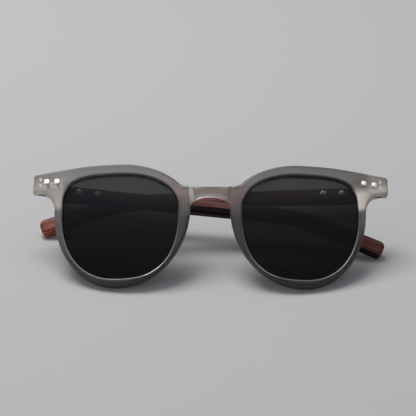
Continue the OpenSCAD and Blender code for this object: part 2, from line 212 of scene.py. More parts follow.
# Stretches of the outer edge, clockwise: the quarter of the opening beside each, from which share of that
# quarter to which, and the number of points
frontStretches = {
    "lowTemple": ("lowTemple", 0, 1, 48),
    "lowNose": ("lowNose", 0, 1, 48),
    "arch": ("topNose", 0, 0.22, 30),
    "middle": ("topNose", 0.22, 0.33, 20),
    "bridgeTop": ("topNose", 0.33, 0.45, 18),
    "topNose": ("topNose", 0.45, 1, 36),
    "brow": ("topTemple", 0, 0.56, 48),
    "endPiece": ("topTemple", 0.56, 0.62, 30),
    "sweep": ("topTemple", 0.62, 1, 40),
}


def faceZ(x, depth=0.0):
    # the face is a slice of a cylinder that stands upright behind it
    radius = frontShape["faceRadius"]
    return np.sqrt((radius - depth) ** 2 - x ** 2) - radius


def openingQuarters(grow=0):
    # the opening's four quarter superellipses about the middle of the lens, clockwise, grown for the groove
    f = frontShape
    templeHalf, noseHalf = f["openHalfWidth"] + grow, f["openNoseHalf"] + grow
    up, down = f["openUp"] + grow, f["openDown"] + grow
    return {
        "lowTemple": squaredArc(templeHalf, down, f["squareTempleLow"], 0, -90),
        "lowNose": squaredArc(noseHalf, down, f["squareNoseLow"], -90, -180),
        "topNose": squaredArc(noseHalf, up, f["squareNoseTop"], 180, 90),
        "topTemple": squaredArc(templeHalf, up, f["squareTempleTop"], 90, 0),
    }


def outerRuns():
    # the outer edge of one half, stretch by stretch
    f = frontShape
    rimTopY = f["widestY"] + f["openUp"] + f["rimTop"]
    rimSideX = f["lensX"] + f["openHalfWidth"] + f["rimSide"]
    sideReach, noseReach = f["openHalfWidth"] + f["rimSide"], f["lensX"] - f["noseHalf"]
    topReach, lowReach = rimTopY - f["widestY"], f["openDown"] + f["rimLow"]
    shoulder = (f["bridgeY"] - f["widestY"]) / topReach
    shoulderAngle = 180 - math.degrees(math.asin(shoulder ** (f["squareRimTop"] / 2)))
    arch = [0, f["widestY"]] + squaredArc(f["noseHalf"], f["archY"] - f["widestY"], f["squareArch"], 0, 90)
    topNose = lensCentre + squaredArc(noseReach, topReach, f["squareRimTop"], shoulderAngle, 90)
    cornerX, corner = f["endX"] - f["endCorner"], f["endCorner"]
    brow = bezier((f["lensX"], rimTopY), (f["lensX"] + f["browFlat"], rimTopY),
                  (f["endX"] - f["endFlat"], f["endTop"] + f["endFall"]), (cornerX, f["endTop"]))
    endPiece = np.concatenate([
        roundCorner((cornerX, f["endTop"] - corner), corner, 90, 0),
        roundCorner((cornerX, f["endLow"] + corner), corner, 0, -90)])
    sweep = bezier((cornerX, f["endLow"]), (rimSideX + f["sweepWidth"], f["endLow"] - f["sweepSag"]),
                   (rimSideX + f["sweepLean"], f["widestY"] + f["sweepHeight"]), (rimSideX, f["widestY"]))
    return {
        "lowTemple": lensCentre + squaredArc(sideReach, lowReach, f["squareRimLow"], 0, -90),
        "lowNose": lensCentre + squaredArc(noseReach, lowReach, f["squareRimLow"], -90, -180),
        "arch": arch,
        "middle": np.array([[0, f["archY"]], [0, f["bridgeY"]]], float),
        "bridgeTop": np.array([[0, f["bridgeY"]], topNose[0]]),
        "topNose": topNose,
        "brow": brow,
        "endPiece": endPiece,
        "sweep": sweep,
    }


# How the folded pair leans back on its lower rims and temple tips
restPose = {
    "elevation": 48.95,   # degrees by which the face points up
    "forward": 12.2,
}


def findRestLow():
    # the lowest point of the back edge of the lower rims
    outer = np.concatenate(list(outerRuns().values()))
    elevation = math.radians(restPose["elevation"])
    backZ = faceZ(outer[:, 0], frontShape["thickness"])
    return float((outer[:, 1] * math.cos(elevation) + backZ * math.sin(elevation)).min())


restPose["low"] = findRestLow()


def toRow(points):
    # the leaning pose: a turn about x, then a shift until the lower rims stand on the floor
    elevation = math.radians(restPose["elevation"])
    x, y, z = points[..., 0], points[..., 1], points[..., 2]
    up = y * math.cos(elevation) + z * math.sin(elevation)
    back = y * math.sin(elevation) - z * math.cos(elevation)
    return np.stack([x, back - restPose["forward"], up - restPose["low"]], -1)


def spokeDirections(outer, outward, names):
    # from the outer edge into the plastic; at the middle line the directions turn to meet as a mitre
    f = frontShape
    inward = -outward
    onMiddle = names == "middle"
    middleY = (f["archY"] + f["bridgeY"]) / 2
    halfLength = (f["bridgeY"] - f["archY"]) / 2
    inward[onMiddle] = np.stack([np.ones(onMiddle.sum()), (middleY - outer[onMiddle, 1]) / halfLength], -1)
    inward[np.argmax(onMiddle)] = (1, 1)
    inward[np.argmax(names == "bridgeTop")] = (1, -1)
    lean = np.clip(1 - outer[:, 0] / f["mitre"], 0, 1)
    nearMiddle = ((names == "arch") | (names == "bridgeTop")) & (outer[:, 0] > 0)
    inward[nearMiddle, 0] += lean[nearMiddle]
    return inward


def frontLoops():
    # matching points round the outer edge and round the opening, the stretch of each, and their directions
    runs, quarters = outerRuns(), openingQuarters()
    outer, inner, names = [], [], []
    for name, (quarter, start, stop, count) in frontStretches.items():
        outer.append(evenly(runs[name], count + 1)[:-1])
        inner.append(lensCentre + evenly(quarters[quarter], count + 1, start, stop)[:-1])
        names += [name] * count
    outer, inner, names = np.concatenate(outer), np.concatenate(inner), np.array(names)
    outward = outwardNormals(outer)
    return {"outer": outer, "inner": inner, "names": names, "outward": outward,
            "opening": outwardNormals(inner), "spokes": spokeDirections(outer, outward, names)}


def acrossFlank(x, y):
    # distance from the upper crease of the bridge's flank, negative towards the middle
    f = frontShape
    lean = math.radians(f["flankLean"])
    return (x - f["noseHalf"]) * math.cos(lean) - (y - f["widestY"] - f["flankFoot"]) * math.sin(lean)


def bridgeZ(x, y):
    # the bridge lies behind the rims: a plane that falls along a slanted flank to a level floor
    f = frontShape
    flank = acrossFlank(x, y) / f["flankWidth"] * f["bridgeSet"]
    k = f["crease"]
    sunk = k * np.logaddexp(flank / k, -f["bridgeSet"] / k)
    return -k * np.logaddexp(-faceZ(x) / k, -sunk / k)


def faceRings(loops, edge):
    # rings of one face: a rounded edge at the opening, even steps across, a rounded edge outside
    f = frontShape
    quarter = np.radians(np.linspace(0, 90, f["edgeRings"]))[:, None, None]
    near = loops["inner"] + loops["opening"] * f["edgeInner"] * (1 - np.cos(quarter[::2]))
    far = loops["outer"] + loops["spokes"] * edge * (1 - np.cos(quarter[::-1]))
    across = np.linspace(0, 1, f["faceRings"])[1:-1, None, None]
    return np.concatenate([near, near[-1] + (far[0] - near[-1]) * across, far])


def edgeDistances(rings, loops):
    # from each point to the outer edge, without the middle line where the halves meet, and to the opening
    outer, inner, names = loops["outer"], loops["inner"], loops["names"]
    lower = np.concatenate([outer[:np.argmax(names == "middle")], [[0, frontShape["archY"]]]])
    upper = np.concatenate([outer[np.argmax(names == "bridgeTop"):], outer[:1]])
    flat = rings.reshape(-1, 2)
    outside = np.minimum(distanceTo(flat, lower), distanceTo(flat, upper))
    inside = distanceTo(flat, np.concatenate([inner, inner[:1]]))
    return outside.reshape(rings.shape[:2]), inside.reshape(rings.shape[:2])


# How far the front's tones of painted light and shade reach, in shares of an edge's radius or of the flank's
# width: full up to the first share, none from the second
frontTones = {
    "bevel": (1 / 3, 1), "archEdge": (1 / 3, 2 / 3), "endEdge": (1 / 4, 1 / 2),
    "flankMiddle": -0.45, "flank": (4 / 7, 5 / 7),
    "upShift": 0.45, "upGain": 1.6,     # how fast an edge's tone changes with the way it faces
    "lipFront": 4, "lipBack": 3,        # rings of each face that share the tone of the wall
}


def toneGrid(rows, rings, outside, inside, loops):
    # three tones of painted light and shade for each point, which the material of the plastic reads
    f, t = frontShape, frontTones
    outer, names = loops["outer"], loops["names"]
    outwardX, outwardY = loops["outward"].T
    tone = np.zeros((rows, len(names), 3))
    face = tone[:len(rings)]
    # X: edge of the opening, a painted highlight above 0 where it faces up and painted shade below where it
    # faces down, and a painted highlight on the edge of the arch
    edgeUp = np.clip(t["upShift"] - t["upGain"] * loops["opening"][:, 1], -1, 1)
    face[..., 0] = fadeOut(inside / f["edgeInner"], *t["bevel"]) * edgeUp
    tone[-1, :, 0] = edgeUp
    underArch = np.clip(-t["upGain"] * outwardY, 0, 1) * (names == "arch")
    underArch[np.argmax(names == "middle")] = 1
    face[..., 0] += fadeOut(outside / f["edgeFront"], *t["archEdge"]) * underArch
    # Y: flank of the bridge and upright edge of the end piece, painted shade on this half and a painted
    # highlight on the other
    flank = acrossFlank(rings[..., 0], rings[..., 1]) / f["flankWidth"]
    upright = np.clip(outwardX, 0, 1) * (names == "endPiece")
    face[..., 1] = fadeOut(np.abs(flank - t["flankMiddle"]), *t["flank"])
    face[..., 1] += fadeOut(outside / f["edgeFront"], *t["endEdge"]) * upright
    # Z: painted shade above 0 on walls that face the floor and in the painted shadow over the temple's root,
    # a painted highlight below 0 on the pale lip
    facing = np.clip(-outwardY, 0, 1) * np.isin(names, ("lowTemple", "lowNose"))
    underEnd = np.isin(names, ("sweep", "endPiece")) & (outer[:, 1] < (f["endTop"] + f["endLow"]) / 2)
    rootShadow = underEnd & (np.abs(outer[:, 0] - f["rootShadowX"]) < f["rootShadowHalf"])
    wallStop = len(rings) + len(f["wallShares"]) + t["lipBack"]
    tone[len(rings) - t["lipFront"]:wallStop, :, 2] = facing - (underEnd & ~rootShadow)
    tone[len(rings):wallStop, :, 2] += rootShadow
    return tone


def buildFrontShell(material):
    # rings that run from the opening over the front, down the outer wall, back over the rear and round the
    # groove of the lens; each face is its cylinder less the drop of its rounded edges
    f = frontShape
    loops = frontLoops()
    outer, inner, opening = loops["outer"], loops["inner"], loops["opening"]

    def edgeDrops(distances, edge):
        outside, inside = distances
        return roundedDrop(outside, edge) + roundedDrop(inside, f["edgeInner"])

    frontRings = faceRings(loops, f["edgeFront"])
    frontDistances = edgeDistances(frontRings, loops)
    frontZ = bridgeZ(frontRings[..., 0], frontRings[..., 1]) - edgeDrops(frontDistances, f["edgeFront"])
    backRings = faceRings(loops, f["edgeBack"])[::-1]
    relief = f["leafRelief"] * smoothStep((backRings[..., 0] - f["reliefFrom"]) / f["reliefRun"])
    backZ = faceZ(backRings[..., 0], f["thickness"]) + relief
    backZ += edgeDrops(edgeDistances(backRings, loops), f["edgeBack"])

    # side walls between the two faces, straight outside and with the lens groove inside
    share = np.array(f["wallShares"])[:, None]
    wallZ = frontZ[-1] * (1 - share) + backZ[0] * share
    wallRings = np.repeat(outer[None], len(share), 0)
    seat = faceZ(inner[:, 0]) - lensShape["set"]
    seatBack = seat - lensShape["thickness"]
    deep = inner + opening * f["grooveDepth"]
    grooveRings = np.stack([inner, deep, deep, inner])
    grooveZ = np.stack([seatBack, seatBack, seat, seat])

    rings = np.concatenate([frontRings, wallRings, backRings, grooveRings])
    z = np.concatenate([frontZ, wallZ, backZ, grooveZ])
    points = np.concatenate([rings, z[..., None]], -1)
    rows, columns = points.shape[:2]
    faces = gridFaces(rows, columns, True, True)

    # the outer wall is left open along the middle line, where the two halves meet
    faceRow, faceColumn = np.divmod(faces[:, 0], columns)
    onWall = (faceRow >= len(frontRings) - 1) & (faceRow < len(frontRings) + len(share))
    faces = faces[~(onWall & (loops["names"][faceColumn] == "middle"))]
    both, allFaces = withMirror(points, faces)
    tone = toneGrid(rows, frontRings, *frontDistances, loops)
    tones = np.concatenate([tone, tone * [1, -1, 1]])
    shell = meshPiece("frontShell", toRow(both), allFaces, f["sharpAngle"], frontTone=tones)
    finishPiece(shell, material, "front", "frame_plastic", "front_frame")


# A lens: a thin bowed sheet whose edge sits in the groove of the rim
lensShape = {
    "set": 1.9, "thickness": 1.6, "groove": 0.8, "bow": 0.5,
    "quarterSteps": 48, "rings": 25, "sharpAngle": 50,
}


def buildLens(side, material):
    # rings from the middle of the lens to its edge and back again on the other face: the front's cylinder,
    # set back, plus a bow that falls with the square of the radius
    s = lensShape
    quarters = openingQuarters(s["groove"]).values()
    edge = np.concatenate([evenly(quarter, s["quarterSteps"] + 1)[:-1] for quarter in quarters])
    radius = np.linspace(0, 1, s["rings"])
    share = np.r_[radius, radius[::-1]][:, None]
    depth = np.repeat([s["set"], s["set"] + s["thickness"]], len(radius))[:, None]
    x = lensCentre[0] + edge[:, 0] * share
    y = lensCentre[1] + edge[:, 1] * share
    z = faceZ(x) - depth + s["bow"] * (1 - share ** 2)
    points = np.stack([side * x, y, z], -1)
    faces = gridFaces(*points.shape[:2], False, True)
    lens = meshPiece(sideName(side) + "LensSheet", toRow(points), faces, s["sharpAngle"])
    finishPiece(lens, material, "front", "lens_tint", sideName(side) + "_lens")


# A nose pad: a rounded fin behind the rim, beside the nose gap
padShape = {
    "depth": 5.2, "length": 17, "width": 3.2, "y": -1.2, "inset": 2.3, "splay": 8, "lean": 13,
    "sunk": 0.25,                               # share of the plastic's thickness that its foot sinks in
    "widthPower": 0.4, "heightPower": 0.6,      # how bluntly the fin ends
    "sectionPower": 0.8, "footShare": 0.15,
    "lengthSteps": 41, "sectionSteps": 32, "sharpAngle": 60,
}


def buildNosePads(material):
    # a superellipse section whose width and height shrink towards both ends by powers of 1 - t^2
    f, p = frontShape, padShape
    t = np.linspace(-1, 1, p["lengthSteps"])[:, None]
    a = np.linspace(0, 2 * np.pi, p["sectionSteps"], endpoint=False)[None]
    full = np.maximum(1 - t ** 2, 0)
    width = p["width"] / 2 * full ** p["widthPower"]
    height = (p["depth"] + f["thickness"] * p["sunk"]) * full ** p["heightPower"]
    x = width * signedPower(np.cos(a), p["sectionPower"])
    y = p["length"] / 2 * t + 0 * a
    rise = np.where(np.sin(a) > 0, signedPower(np.sin(a), p["sectionPower"]), p["footShare"] * np.sin(a))
    turn = turnAbout("z", p["lean"]) @ turnAbout("y", -p["splay"])
    placeX = f["noseHalf"] + p["inset"] + p["width"] / 2
    place = [placeX, p["y"], faceZ(placeX, f["thickness"] * (1 - p["sunk"]))]
    points = np.stack([x, y, -height * rise], -1) @ turn.T + place
    both, faces = withMirror(points, gridFaces(*points.shape[:2], False, True))
    pads = meshPiece("nosePads", toRow(both), faces, p["sharpAngle"])
    finishPiece(pads, material, "front", "frame_plastic")


# Where the hinges sit, how their axes lean, and how far short of flat each temple is folded
hingePlace = {
    "x": 63, "y": 21.8, "axisBack": 2.0, "lean": 5, "skew": 3.1, "leftFold": 8, "rightFold": 3.5,
}


def endTurn():
    # degrees by which the curved face has turned at the hinge
    radius = frontShape["faceRadius"] - frontShape["thickness"] - hingePlace["axisBack"]
    return math.degrees(math.asin(hingePlace["x"] / radius))


def foldTurn(side):
    return 90 - hingePlace[sideName(side) + "Fold"]


def fromHinge(points, side, turn):
    # out of a hinge's own frame: a turn about its axis, the skew and lean of the axis, its place
    h = hingePlace
    axisTurn = turnAbout("x", -h["lean"]) @ turnAbout("z", -side * h["skew"]) @ turnAbout("y", turn)
    place = [h["x"], h["y"], float(faceZ(h["x"], frontShape["thickness"] + h["axisBack"]))]
    return (points @ axisTurn.T + place) * [side, 1, 1]


def headPair(name, shapes, side, turn, sharpAngle):
    # equal turned shapes at their places in a hinge's frame, as one mesh
    faces = gridFaces(*shapes[0].shape[:2], True, False)
    step = shapes[0].size // 3
    allFaces = np.concatenate([faces + step * i for i in range(len(shapes))])
    return meshPiece(name, toRow(fromHinge(np.stack(shapes), side, turn)), allFaces, sharpAngle)


# A rivet of the front leaf, its head on the face
rivetShape = {
    "places": (-1.4, 3.0), "shank": 1.2, "head": 2.1, "rise": 0.44, "crown": 0.10, "edge": 0.12, "square": 5,
    "sunk": 0.1, "edgeFrom": 75, "crownSteps": 9, "edgeSteps": 5, "steps": 48, "sharpAngle": 35,
}


def buildRivets(side, material):
    # a slightly crowned head with a rounded edge, on a shank that reaches back to the hinge leaf;
    # the head is squared: its radius grows by (|cos a|^n + |sin a|^n)^(-1/n)
    r = rivetShape
    foot = hingePlace["axisBack"]
    face = foot + frontShape["thickness"]
    half, flat, shank = r["head"] / 2, r["head"] / 2 - r["edge"], r["shank"] / 2
    t = np.linspace(0, 1, r["crownSteps"])
    crown = np.stack([flat * t, face + r["rise"] - r["crown"] * t ** 2], -1)
    bend = np.radians(np.linspace(r["edgeFrom"], 0, r["edgeSteps"]))
    rim = face + r["rise"] - r["crown"] - r["edge"]
    edge = np.stack([flat + r["edge"] * np.cos(bend), rim + r["edge"] * np.sin(bend)], -1)
    stem = [(half, face - r["sunk"]), (shank, face - r["sunk"]), (shank, foot), (0, foot)]
    shape = revolve(np.concatenate([crown, edge, stem]), r["steps"])
    angle = np.arctan2(shape[..., 1], shape[..., 0])
    n = r["square"]
    grow = (np.abs(np.cos(angle)) ** n + np.abs(np.sin(angle)) ** n) ** (-1 / n)
    onHead = shape[..., 2] > face
    shape[..., :2] *= np.where(onHead, grow, 1)[..., None]
    shapes = [shape + [x, 0, 0] for x in r["places"]]
    name = sideName(side)
    rivets = headPair(name + "RivetHeads", shapes, side, endTurn(), r["sharpAngle"])
    finishPiece(rivets, material, "front", "rivet_metal", name + "_front_rivets")


# A screw of the temple leaf, its head on the inner face of the temple
screwShape = {
    "places": (8.8, 16.5), "shank": 1.2, "head": 2.6, "rise": 0.5, "socket": 1.0, "socketDepth": 0.42,
    "leafThickness": 0.9, "panWidth": 0.35, "panHeight": 0.3, "flareWidth": 0.08, "flareDepth": 0.06,
    "tailGap": 0.04, "panSteps": 7, "steps": 40, "sharpAngle": 35,
}


def buildScrews(side, material):
    # a pan head, rounded by a quarter ellipse, with a flared round socket, on a shank that runs into the wood
    s = screwShape
    half, socket, shank, top = s["head"] / 2, s["socket"] / 2, s["shank"] / 2, s["rise"]
    foot = top - s["socketDepth"]
    well = [(0, foot), (socket, foot), (socket, top - s["flareDepth"]), (socket + s["flareWidth"], top)]
    bend = np.radians(np.linspace(90, 0, s["panSteps"]))
    panX = half - s["panWidth"] * (1 - np.cos(bend))
    panZ = top - s["panHeight"] * (1 - np.sin(bend))
    pan = np.stack([panX, panZ], -1)
    tail = s["leafThickness"] + templeShape["thickness"] / 2 - s["tailGap"]
    stem = [(half, 0), (shank, 0), (shank, -tail), (0, -tail)]
    shape = revolve(np.concatenate([well, pan, stem]), s["steps"]) @ turnAbout("y", -90).T
    leafFace = templeShape["inside"] - s["leafThickness"] / 2
    shapes = [shape + [leafFace, 0, -along] for along in s["places"]]
    name = sideName(side)
    screws = headPair(name + "TempleScrewHeads", shapes, side, foldTurn(side), s["sharpAngle"])
    finishPiece(screws, material, name + "_temple", "hinge_metal", name + "_temple_screws")


# A temple: a rounded bar that turns down towards its tip, in the frame of its hinge
templeShape = {
    "length": 138, "inside": 1.9, "thickness": 4.6,
    "rootHeight": 6.4, "midHeight": 6.0, "tipHeight": 7.0,
    "rootSlope": 1, "tipSlope": 20, "straight": 90, "bend": 22,
    "tipRound": 2.4, "tipEase": 1.4, "rootGap": 0.65, "rootEdge": 0.35, "square": 5,
    "barFrom": 3, "barSteps": 110, "tipSteps": 13, "rootSteps": 5, "sectionSteps": 72, "lineSteps": 4000,
    "grainOffset": 400,   # sets the grain of the right temple apart from that of the left one
    "sharpAngle": 60,
}
templeMiddle = templeShape["inside"] + templeShape["thickness"] / 2


def slopeAt(s):
    # degrees by which the middle line falls at distance s
    w = templeShape
    return np.interp(s, [w["straight"], w["straight"] + w["bend"]], [w["rootSlope"], w["tipSlope"]])


def templeLine(s):
    # middle line at distance s: straight at a small slope, an arc over the bend, straight again
    fine = np.linspace(0, templeShape["length"], templeShape["lineSteps"])
    slope = np.radians(slopeAt(fine))
    stepSlope = (slope[1:] + slope[:-1]) / 2
    down = np.r_[0, np.cumsum(np.sin(stepSlope)) * fine[1]]
    back = np.r_[0, np.cumsum(np.cos(stepSlope)) * fine[1]]
    return -np.interp(s, fine, down), -np.interp(s, fine, back)


def templeSection():
    # once round a superellipse of half width 1 and half height 1
    around = np.linspace(0, 2 * np.pi, templeShape["sectionSteps"], endpoint=False)
    power = 2 / templeShape["square"]
    return signedPower(np.cos(around), power), signedPower(np.sin(around), power)


def templeRoot(aroundX, aroundY):
    # a cut parallel to the end piece: its first row is a point, the others round off its edge
    w = templeShape
    turn = math.radians(endTurn())
    firstRow = ((1, 0), (0, 0))
    quarter = np.radians(np.linspace(0, 90, w["rootSteps"]))[:, None]
    inset = w["rootEdge"] * (1 - np.sin(quarter))
    sectionX = np.pad((w["thickness"] / 2 - inset) * aroundX, firstRow)
    sectionY = np.pad((w["rootHeight"] / 2 - inset) * aroundY, firstRow)
    fall = np.pad(w["rootEdge"] * (1 - np.cos(quarter)), firstRow)
    x = templeMiddle + sectionX
    cutZ = (hingePlace["axisBack"] - w["rootGap"] - x * math.sin(turn)) / math.cos(turn)
    points = np.stack([x, sectionY, cutZ - fall], -1)
    return points, np.stack([0 * sectionX, sectionX, sectionY], -1)


def templeBar(aroundX, aroundY):
    # the section carried along the middle line, rounded off at the tip, where the last row is a point
    w = templeShape
    quarter = np.radians(np.linspace(0, 90, w["tipSteps"]))
    tip = w["length"] - w["tipRound"] * (1 - np.sin(quarter))
    s = np.r_[np.linspace(w["barFrom"], w["length"] - w["tipRound"], w["barSteps"])[:-1], tip, w["length"]]
    s = s[:, None]
    pastStraight = (s - w["straight"]) / (w["length"] - w["straight"])
    height = w["rootHeight"] + (w["midHeight"] - w["rootHeight"]) * smoothStep(2 * s / w["straight"])
    height += (w["tipHeight"] - w["midHeight"]) * smoothStep(pastStraight)
    sectionX = (w["thickness"] / 2 - roundedDrop(w["length"] - s, w["tipEase"])) * aroundX
    sectionY = (height / 2 - roundedDrop(w["length"] - s, w["tipRound"])) * aroundY
    sectionX[-1] = 0
    sectionY[-1] = 0
    middleY, middleZ = templeLine(s)
    slope = np.radians(slopeAt(s))
    points = np.stack([templeMiddle + sectionX, middleY + sectionY * np.cos(slope),
                       middleZ - sectionY * np.sin(slope)], -1)
    return points, np.stack([s + 0 * sectionX, sectionX, sectionY], -1)


def buildTemple(side, material):
    # a superellipse section carried from the cut at the root to the tip; the grain has its own coordinates:
    # distance along the bar, then place in the section
    section = templeSection()
    rootPoints, rootGrain = templeRoot(*section)
    barPoints, barGrain = templeBar(*section)
    points = np.concatenate([rootPoints, barPoints])
    grain = np.concatenate([rootGrain, barGrain])
    if side < 0:
        grain[..., 0] += templeShape["grainOffset"]
    name = sideName(side)
    faces = gridFaces(*points.shape[:2], False, True)
    temple = meshPiece(name + "TempleBar", toRow(fromHinge(points, side, foldTurn(side))), faces,
                       templeShape["sharpAngle"], grainPlace=grain)
    finishPiece(temple, material, name + "_temple", "temple_wood", name + "_temple")


# Materials

def newMaterial(name):
    material = bpy.data.materials.new(name)
    material.use_nodes = True
    tree = material.node_tree
    return material, tree, tree.nodes["Principled BSDF"]


def objectPlace(tree):
    return tree.nodes.new("ShaderNodeTexCoord").outputs["Object"]


def attributePlace(tree, name):
    attribute = tree.nodes.new("ShaderNodeAttribute")
    attribute.attribute_name = name
    return attribute.outputs["Vector"]


def splitNode(tree, vector):
    split = tree.nodes.new("ShaderNodeSeparateXYZ")
    tree.links.new(vector, split.inputs["Vector"])
    return [split.outputs[axis] for axis in "XYZ"]


def stretchNode(tree, vector, scale):
    mapping = tree.nodes.new("ShaderNodeMapping")
    mapping.inputs["Scale"].default_value = scale
    tree.links.new(vector, mapping.inputs["Vector"])
    return mapping.outputs["Vector"]


def noiseNode(tree, place, scale, detail=3.0, roughness=0.5):
    noise = tree.nodes.new("ShaderNodeTexNoise")
    noise.inputs["Scale"].default_value = scale
    noise.inputs["Detail"].default_value = detail
    noise.inputs["Roughness"].default_value = roughness
    tree.links.new(place, noise.inputs["Vector"])
    return noise.outputs["Fac"]


def rampNode(tree, value, stops):
    ramp = tree.nodes.new("ShaderNodeValToRGB")
    elements = ramp.color_ramp.elements
    while len(elements) < len(stops):
        elements.new(0.5)
    for element, (at, colour) in zip(elements, stops):
        element.position = at
        element.color = (*colour, 1)
    tree.links.new(value, ramp.inputs["Fac"])
    return ramp.outputs["Color"]


def bumpNode(tree, height, strength, distance):
    bump = tree.nodes.new("ShaderNodeBump")
    bump.inputs["Strength"].default_value = strength
    bump.inputs["Distance"].default_value = distance
    tree.links.new(height, bump.inputs["Height"])
    return bump.outputs["Normal"]


def rangeNode(tree, value, before, after, start=0.0, stop=1.0):
    # a smooth step from one value to another while the input runs from start to stop
    mapped = tree.nodes.new("ShaderNodeMapRange")
    mapped.interpolation_type = "SMOOTHSTEP"
    mapped.inputs["From Min"].default_value = start
    mapped.inputs["From Max"].default_value = stop
    mapped.inputs["To Min"].default_value = before
    mapped.inputs["To Max"].default_value = after
    tree.links.new(value, mapped.inputs["Value"])
    return mapped.outputs["Result"]


def mathNode(tree, operation, first, *others):
    # one operation on all the values in turn
    for other in others:
        node = tree.nodes.new("ShaderNodeMath")
        node.operation = operation
        tree.links.new(first, node.inputs[0])
        tree.links.new(other, node.inputs[1])
        first = node.outputs["Value"]
    return first


def absoluteNode(tree, value):
    node = tree.nodes.new("ShaderNodeMath")
    node.operation = "ABSOLUTE"
    tree.links.new(value, node.inputs[0])
    return node.outputs["Value"]


def mixNode(tree, factor, first, second, blend="MIX"):
    # the factor may be a number or a socket, and so may each colour
    mix = tree.nodes.new("ShaderNodeMix")
    mix.data_type = "RGBA"
    mix.blend_type = blend
    for name, value in (("Factor", factor), ("A", first), ("B", second)):
        socket = next(one for one in mix.inputs if one.name == name and one.enabled)
        if isinstance(value, bpy.types.NodeSocket):
            tree.links.new(value, socket)
        elif isinstance(value, tuple):
            socket.default_value = (*value, 1)
        else:
            socket.default_value = value
    return next(one for one in mix.outputs if one.enabled)


def fadeMasks(tree, measures, fades):
    # each mask is the product of its fades. A fade is a smooth step along one measure: its value before and
    # after, and where it starts and stops
    masks = {}
    for name, rows in fades.items():
        steps = [rangeNode(tree, measures[along], *step) for along, *step in rows]
        masks[name] = mathNode(tree, "MULTIPLY", *steps)
    return masks


# Frosted smoke-grey plastic that lets light through. Painted into its colour: shade towards the floor, beside
# the nose, on walls that face the floor, over the temple's root, on the top inner bevel, on one bridge flank
# and upright end edge and towards the wearer's left; warm light at the end pieces, brighter at the wearer's
# left one, and over the wood behind the bridge; highlights on the polished bevel where it faces up, the arch
# edge, the other flank and end edge and the lip under the end pieces; and glints of the hinge metal inside
smokePlastic = {
    # painted shade: the colour darkens towards the floor
    "heights": (0.002, 0.036),
    "heightStops": ((0, (0.17, 0.168, 0.165)), (0.5, (0.36, 0.353, 0.343)), (1, (0.355, 0.348, 0.340))),
    # each tint below is painted light or shade, laid on by the fade of the same name
    "tints": {
        "glint": (1.0, 0.97, 0.92), "nasal": (0.25, 0.247, 0.245), "ends": (1.0, 0.90, 0.78),
        "bridge": (0.58, 0.468, 0.440), "bevel": (0.62, 0.61, 0.59), "olive": (0.07, 0.07, 0.055),
        "paleFlank": (0.95, 0.93, 0.91), "darkFlank": (0.38, 0.27, 0.25), "wall": (0.03, 0.03, 0.03),
        "lip": (0.62, 0.57, 0.52),
    },
    "fades": {
        # painted shade beside the nose
        "nasal": (("across", 1, 0, 0.013, 0.020), ("height", 1, 0, 0.0232, 0.0265),
                  ("height", 0, 1, 0.002, 0.0232)),
        # painted warm light in the end pieces, from the wood and metal behind them
        "ends": (("across", 0, 1, 0.054, 0.059), ("across", 1, 0.75, 0.061, 0.067),
                 ("height", 0, 1, 0.0215, 0.0240), ("height", 1, 0.25, 0.0275, 0.0315),
                 ("x", 0.6, 1, -0.01, 0.01)),
        # painted light of the wood behind the bridge, seen through the plastic
        "bridge": (("across", 1, 0, 0.010, 0.022), ("height", 0, 1, 0.0250, 0.0272)),
        # painted highlight on edges that face up, painted shade on edges that face down
        "bevel": (("edgeTone", 0, 1, 0, 1),),
        "olive": (("edgeTone", 1, 0, -1, 0),),
        # painted highlight on one bridge flank and end edge, painted shade on the other
        "paleFlank": (("flankTone", 1, 0, -1, 0),),
        "darkFlank": (("flankTone", 0, 0.7, 0, 1),),
        # painted shade on walls facing the floor and over the temple's root, painted highlight on the lip
        "wall": (("wallTone", 0, 0.85, 0, 0.6),),
        "lip": (("wallTone", 1, 0, -1, 0),),
        # painted shade towards the wearer's left, and painted light on that side's end piece
        "leftShade": (("x", 1, 0.82, -0.04, 0.05), ("x", 1, 0.68, 0.053, 0.061)),
        "leftEndLight": (("x", 0, 1.12, 0.060, 0.067), ("height", 0, 1, 0.0255, 0.0285)),
    },
    # painted glints of the hinge metal inside the end pieces
    "glints": ((0.0697, 0, 0.0306), (0.0697, 0, 0.0289)), "glintFade": (0.85, 0, 0.0002, 0.0009),
    "clouds": 120, "cloudStops": ((0.3, (0.94, 0.94, 0.94)), (0.7, (1, 1, 1))),
    "frost": (2600, 2), "frostBump": (0.08, 0.0001),
    "roughness": (0.40, 0.50), "roughDark": (1, 1.8, 0, 0.7), "roughBevel": (1, 0.5),
    "transmission": (0.90, 0.30),               # of the plastic and of the pale flank
    "clearShares": {"bevel": 0.6, "ends": 0.12, "olive": 0.4, "lip": 0.4, "wall": 0.3},
    "ior": 1.46,
}


def glintMask(tree, across, height):
    # painted glints of the hinge metal inside the plastic: pale spots at set places on both end pieces, at
    # any depth
    flat = tree.nodes.new("ShaderNodeCombineXYZ")
    tree.links.new(across, flat.inputs["X"])
    tree.links.new(height, flat.inputs["Z"])
    spots = []
    for place in smokePlastic["glints"]:
        away = tree.nodes.new("ShaderNodeVectorMath")
        away.operation = "DISTANCE"
        tree.links.new(flat.outputs["Vector"], away.inputs[0])
        away.inputs[1].default_value = place
        spots.append(rangeNode(tree, away.outputs["Value"], *smokePlastic["glintFade"]))
    return mathNode(tree, "MAXIMUM", *spots)


